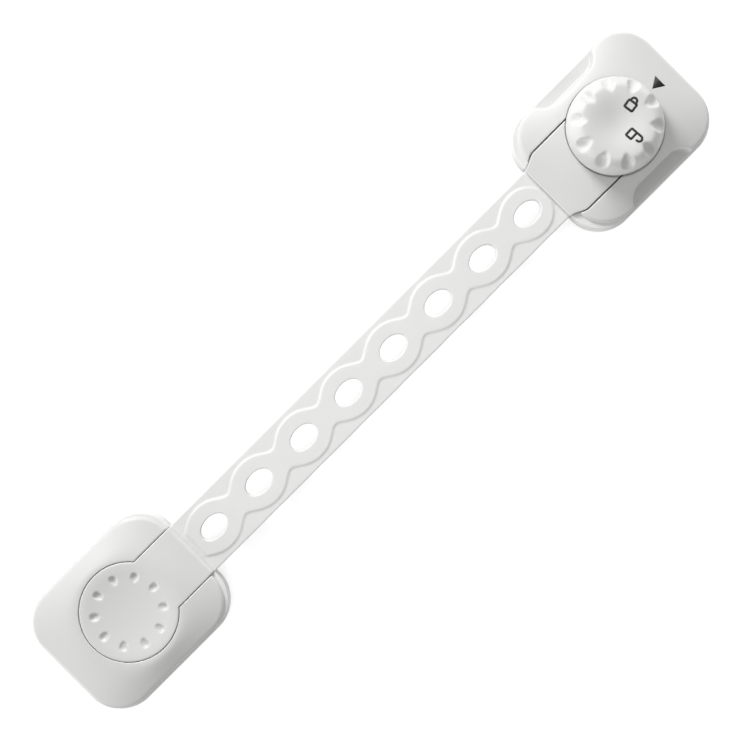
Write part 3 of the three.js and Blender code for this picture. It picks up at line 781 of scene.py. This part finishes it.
plate = {
    "halfWidth": (plateHigh[1] - plateLow[1]) / 2 - 0.1,    # a little narrower than the solid
    "corner": 9.0,
    "anchorTrim": 0.5,  # the anchor's plate ends a little earlier at the strap
    "bottomEdge": 0.2,
    "topEdge": 0.35,
    "rimTop": 7.4,      # rim that stands before the cover at the strap
    "rimHalf": 17.0,
    "rimCorner": 8.4,
    "rimEdge": 0.3,
    "rimReach": 9.0,    # how far it runs back along the sides
    "rimGap": 0.08,     # beside the heads
    "step": 0.25,
    "margin": 0.6,      # of the skin's grid
}
pad = {
    "inset": 1.5,
    "edge": 0.12,
    "edgeSteps": 6,
    "cornerSteps": 16,
}


def plateField(x, y, z, side, near, outline):
    box = unitBox(x, y, side, near, plateHigh[0], plate["halfWidth"], plate["corner"])
    slab = roundMax(box, z - plateTop, plate["topEdge"])
    rimBox = unitBox(x, y, side, near, plateHigh[0], plate["rimHalf"], plate["rimCorner"])
    rim = roundMax(rimBox, z - plate["rimTop"], plate["rimEdge"])
    rim = np.maximum(rim, np.abs(x) - near - plate["rimReach"])
    rim = np.maximum(rim, plate["rimGap"] - outline)
    return roundMax(np.minimum(slab, rim), padTop - z, plate["bottomEdge"])


def anchorPlateField(x, y, z):
    near = plateLow[0] + plate["anchorTrim"]
    return plateField(x, y, z, -1, near, capOutline(x, y))


def lockPlateField(x, y, z):
    return plateField(x, y, z, 1, plateLow[0], tongueOutline(x, y))


def plateGrid(side):
    middle = side * (plateLow[0] + plateHigh[0]) / 2
    margin = plate["margin"]
    reach = (plateHigh[0] - plateLow[0]) / 2 + margin
    wide = plate["halfWidth"] + margin
    low = (middle - reach, -wide, padTop - margin)
    high = (middle + reach, wide, plate["rimTop"] + margin)
    return low, high, plate["step"]


def makePad(name, x0, x1):
    edge, steps = pad["edge"], pad["edgeSteps"]
    turns = [math.pi / 2 * i / steps for i in range(steps + 1)]
    rings = [(edge * (1 - math.sin(turn)), edge * (1 - math.cos(turn))) for turn in turns]
    rings += [(edge * (1 - math.cos(turn)), padTop - edge * (1 - math.sin(turn))) for turn in turns]
    points = []
    for gap, height in rings:
        inset = gap + pad["inset"]
        half = ((x1 - x0) / 2 - inset, plate["halfWidth"] - inset)
        outline = slabOutline((x0 + x1) / 2, *half, plate["corner"] - inset, pad["cornerSteps"])
        points += [(px, py, height) for px, py in outline]
    count = 4 * (pad["cornerSteps"] + 1)
    faces = []
    for ring in range(len(rings) - 1):
        for i in range(count):
            a, b = ring * count + i, ring * count + (i + 1) % count
            faces.append((a, b, b + count, a + count))
    last = (len(rings) - 1) * count
    faces.append(tuple(range(count - 1, -1, -1)))
    faces.append(tuple(range(last, last + count)))
    return newPiece(name + "FoamPad", points, faces, tapeFoam, name + "_unit")


def makeBases():
    near, far = plateLow[0], plateHigh[0]
    ends = {"anchor": (-far, -near - plate["anchorTrim"]), "lock": (near, far)}
    fields = {"anchor": (anchorPlateField, -1), "lock": (lockPlateField, 1)}
    for name, (field, side) in fields.items():
        base = newPiece(name + "BasePlate", *skin(field, *plateGrid(side)), plateAbs, name + "_unit")
        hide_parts(name + "_base_plate")
        foam = makePad(name, *ends[name])
        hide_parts(name + "_adhesive_pad")
    print("base plates and pads made")


# printed signs: shut padlock, open padlock and the pointer on the cover

sign = {
    "corner": 0.22,
    "cornerSteps": 4,
    "line": 0.54,
    "thickness": 0.03,
    "longest": 0.3,         # longest step along a line, so that it follows the dish
    "pointer": (91.55, 94.35, 1.65),    # tip and back along X, and half width
    "pointerRows": 10,
    "tipHalf": 0.02,
}
# the knob stands a little past its mark; place and ring give the middle of a padlock's body
shutPadlock = {
    "isOpen": False,
    "place": math.radians(10.0),
    "ring": 4.7,
    "turn": math.radians(8.5),
    "bodyHalf": (0.92, 1.07),
    "shackleHalf": 0.7,
    "leg": 0.3,
    "archTurn": math.radians(180),
    "archPoints": 17,
}
openPadlock = {
    "isOpen": True,
    "place": math.radians(-86),
    "ring": 3.85,
    "turn": math.radians(-88),
    "bodyHalf": (0.76, 1.0),
    "shackleHalf": 0.68,
    "leg": 1.25,
    "archTurn": math.radians(207),
    "archPoints": 18,
}


def denseRoute(route, closed):
    ends = route[1:] + route[:1] if closed else route[1:]
    points = []
    for start, end in zip(map(Vector, route), map(Vector, ends)):
        steps = math.ceil((end - start).length / sign["longest"])
        points += [start.lerp(end, i / steps) for i in range(steps)]
    return points if closed else points + [Vector(route[-1])]


def inkStroke(route, closed, surface):
    route = denseRoute(route, closed)
    count = len(route)
    points, faces = [], []
    for i, point in enumerate(route):
        before = route[i - 1] if closed or i else point
        after = route[(i + 1) % count] if closed or i < count - 1 else point
        side = (after - before).normalized().orthogonal() * sign["line"] / 2
        for offset, level in ((-1, -1), (1, -1), (1, 1), (-1, 1)):
            px, py = point + offset * side
            points.append((px, py, float(surface(px, py)) + level * sign["thickness"]))
    for i in range(count if closed else count - 1):
        a, b = 4 * i, 4 * ((i + 1) % count)
        for j in range(4):
            k = (j + 1) % 4
            faces.append((a + j, b + j, b + k, a + k))
    if not closed:
        end = 4 * (count - 1)
        faces += [(3, 2, 1, 0), (end, end + 1, end + 2, end + 3)]
    return points, faces


# Body and shackle of a padlock whose top points away from the knob's axis. An open one hangs on one leg.
def padlockRoutes(lock):
    halfU, halfV = lock["bodyHalf"]
    body = slabOutline(0, halfU, halfV, sign["corner"], sign["cornerSteps"])
    wide = lock["shackleHalf"]
    leg = halfU + lock["leg"]
    hinge = halfV - wide if lock["isOpen"] else 0
    turns = np.linspace(0, lock["archTurn"], lock["archPoints"])
    shackle = [(halfU, hinge + wide)]
    shackle += [(leg + wide * math.sin(turn), hinge + wide * math.cos(turn)) for turn in turns]
    if not lock["isOpen"]:
        shackle.append((halfU, -wide))
    midX = unitX + lock["ring"] * math.cos(lock["place"])
    midY = lock["ring"] * math.sin(lock["place"])
    c, s = math.cos(lock["turn"]), math.sin(lock["turn"])

    def onKnob(route):
        return [(midX + c * u - s * v, midY + s * u + c * v) for u, v in route]

    return onKnob(body), onKnob(shackle)


def knobTopAt(px, py):
    return dishHeight(math.hypot(px - unitX, py))


def makePadlock(name, lock):
    body, shackle = padlockRoutes(lock)
    points, faces = inkStroke(body, True, knobTopAt)
    more, moreFaces = inkStroke(shackle, False, knobTopAt)
    faces += [tuple(i + len(points) for i in face) for face in moreFaces]
    piece = newPiece(name, points + more, faces, printInk, "knob_set")


def makePointer():
    tip, back, half = sign["pointer"]
    rows = sign["pointerRows"]
    points, faces = [], []
    for level in (-1, 1):
        for i in range(rows + 1):
            px = tip + (back - tip) * i / rows
            wide = max(half * i / rows, sign["tipHalf"])
            for py in (-wide, wide):
                height = float(crownHeight(px, py, unitX)) + level * sign["thickness"]
                points.append((px, py, height))
    layer = 2 * (rows + 1)
    for i in range(rows):
        a = 2 * i
        faces.append((a, a + 1, a + 3, a + 2))
        faces.append((layer + a, layer + a + 2, layer + a + 3, layer + a + 1))
        faces.append((a, a + 2, layer + a + 2, layer + a))
        faces.append((a + 1, layer + a + 1, layer + a + 3, a + 3))
    faces.append((0, layer, layer + 1, 1))
    faces.append((2 * rows, 2 * rows + 1, layer + 2 * rows + 1, layer + 2 * rows))
    pointer = newPiece("pointerPrint", points, faces, printInk, "lock_unit")


def makePrints():
    makePadlock("shutPadlockPrint", shutPadlock)
    makePadlock("openPadlockPrint", openPadlock)
    makePointer()
    print("prints made")


# carried-over solids: screws, cam and spring

def dressInnerPieces():
    for name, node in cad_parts.items():
        if "screw" in name:
            finish = zincSteel
        elif name == "detent_spring":
            finish = stripSteel
        elif name == "lock_cam":
            finish = plateAbs
        else:
            continue
        node.data.materials.clear()
        node.data.materials.append(finish)
    print("inner pieces dressed")


# camera, floor and light

# places in metres
view = {
    "place": (-0.0001, 0.00017, 0.42),
    "focalPixels": 1780,
    "imagePixels": 740,
    "sensor": 36,
}
light = {
    "world": 0.45,
    "keyPlace": (0.15, 0.66, 0.43),
    "keySize": 0.3,
    "keyPower": 5.3,
    "sidePlace": (1.38, 0.0, 0.22),
    "sideSize": 0.5,
    "eastPower": 4.2,
    "westPower": 8.2,
}
sweep = {
    "half": 3.0,
    "drop": 0.0002,         # below the pads, so that the faces don't meet
    "pale": "#FFFFFF",
    "deep": "#FEFEFE",
    "bounce": "#A0A0A0",    # what the object sees of it
    "lift": 0.6,            # added light that takes the seen paper to white
}


def makeCamera():
    data = bpy.data.cameras.new("photoCamera")
    data.sensor_width = view["sensor"]
    data.lens = view["focalPixels"] / view["imagePixels"] * view["sensor"]
    data.clip_start = 0.01
    camera = bpy.data.objects.new("photoCamera", data)
    camera.location = view["place"]
    camera.rotation_euler = (0, 0, -math.pi / 4)
    bpy.context.scene.collection.objects.link(camera)
    bpy.context.scene.camera = camera


# The camera and mirrored rays see white paper that keeps its shadow. Other rays meet a darker one.
def makeFloor():
    material, tree, shader, place = newMaterial("paper_sweep")
    tree.nodes.remove(shader)
    fibre = addNode(tree, "ShaderNodeTexNoise", {"Vector": place}, Scale=1 / (4 * mm), Detail=2)
    tone = addNode(tree, "ShaderNodeMix", {"Factor": fibre.outputs["Fac"]}, data_type="RGBA")
    tone.inputs[6].default_value = linearColor(sweep["deep"])
    tone.inputs[7].default_value = linearColor(sweep["pale"])
    seen = addNode(tree, "ShaderNodeBsdfDiffuse", {"Color": tone.outputs[2]})
    lift = addNode(tree, "ShaderNodeEmission", Strength=sweep["lift"])
    both = addNode(tree, "ShaderNodeAddShader", {0: seen.outputs[0], 1: lift.outputs[0]})
    bounce = addNode(tree, "ShaderNodeBsdfDiffuse", Color=linearColor(sweep["bounce"]))
    path = addNode(tree, "ShaderNodeLightPath").outputs
    direct = path["Is Camera Ray"]
    for kind in ("Is Glossy Ray", "Is Transmission Ray"):
        direct = addNode(tree, "ShaderNodeMath", {0: direct, 1: path[kind]}, operation="MAXIMUM").outputs[0]
    mix = addNode(tree, "ShaderNodeMixShader", {0: direct, 1: bounce.outputs[0], 2: both.outputs[0]})
    tree.links.new(mix.outputs[0], tree.nodes["Material Output"].inputs["Surface"])
    mesh = bpy.data.meshes.new("floor")
    half = sweep["half"]
    corners = [(-half, -half, 0), (half, -half, 0), (half, half, 0), (-half, half, 0)]
    mesh.from_pydata(corners, [], [(0, 1, 2, 3)])
    mesh.materials.append(material)
    floor = bpy.data.objects.new("floor", mesh)
    floor.location.z = -sweep["drop"]
    bpy.context.scene.collection.objects.link(floor)


def addSoftbox(name, location, size, power):
    data = bpy.data.lights.new(name, "AREA")
    data.shape = "DISK"
    data.size = size
    data.energy = power
    lamp = bpy.data.objects.new(name, data)
    lamp.location = location
    lamp.rotation_euler = (-Vector(location)).to_track_quat("-Z", "Y").to_euler()
    bpy.context.scene.collection.objects.link(lamp)


# The world is white to the camera and dimmer as a light.
def makeLight():
    world = bpy.data.worlds.new("studio")
    world.use_nodes = True
    tree = world.node_tree
    sky = tree.nodes["Background"]
    sky.inputs["Color"].default_value = (1, 1, 1, 1)
    seen = addNode(tree, "ShaderNodeLightPath").outputs["Is Camera Ray"]
    level = addNode(tree, "ShaderNodeMath", {0: seen}, operation="MAXIMUM")
    level.inputs[1].default_value = light["world"]
    tree.links.new(level.outputs[0], sky.inputs["Strength"])
    bpy.context.scene.world = world
    addSoftbox("keySoftbox", light["keyPlace"], light["keySize"], light["keyPower"])
    reach, back, height = light["sidePlace"]
    addSoftbox("eastSoftbox", (reach, back, height), light["sideSize"], light["eastPower"])
    addSoftbox("westSoftbox", (-reach, back, height), light["sideSize"], light["westPower"])
    print("camera, floor and light set")


makeCamera()
makeFloor()
makeLight()
makeAnchorUnit()
makeLockUnit()
makeBases()
makeStrap()
makeKnob()
makePrints()
dressInnerPieces()

bpy.context.scene.view_settings.view_transform = "Standard"
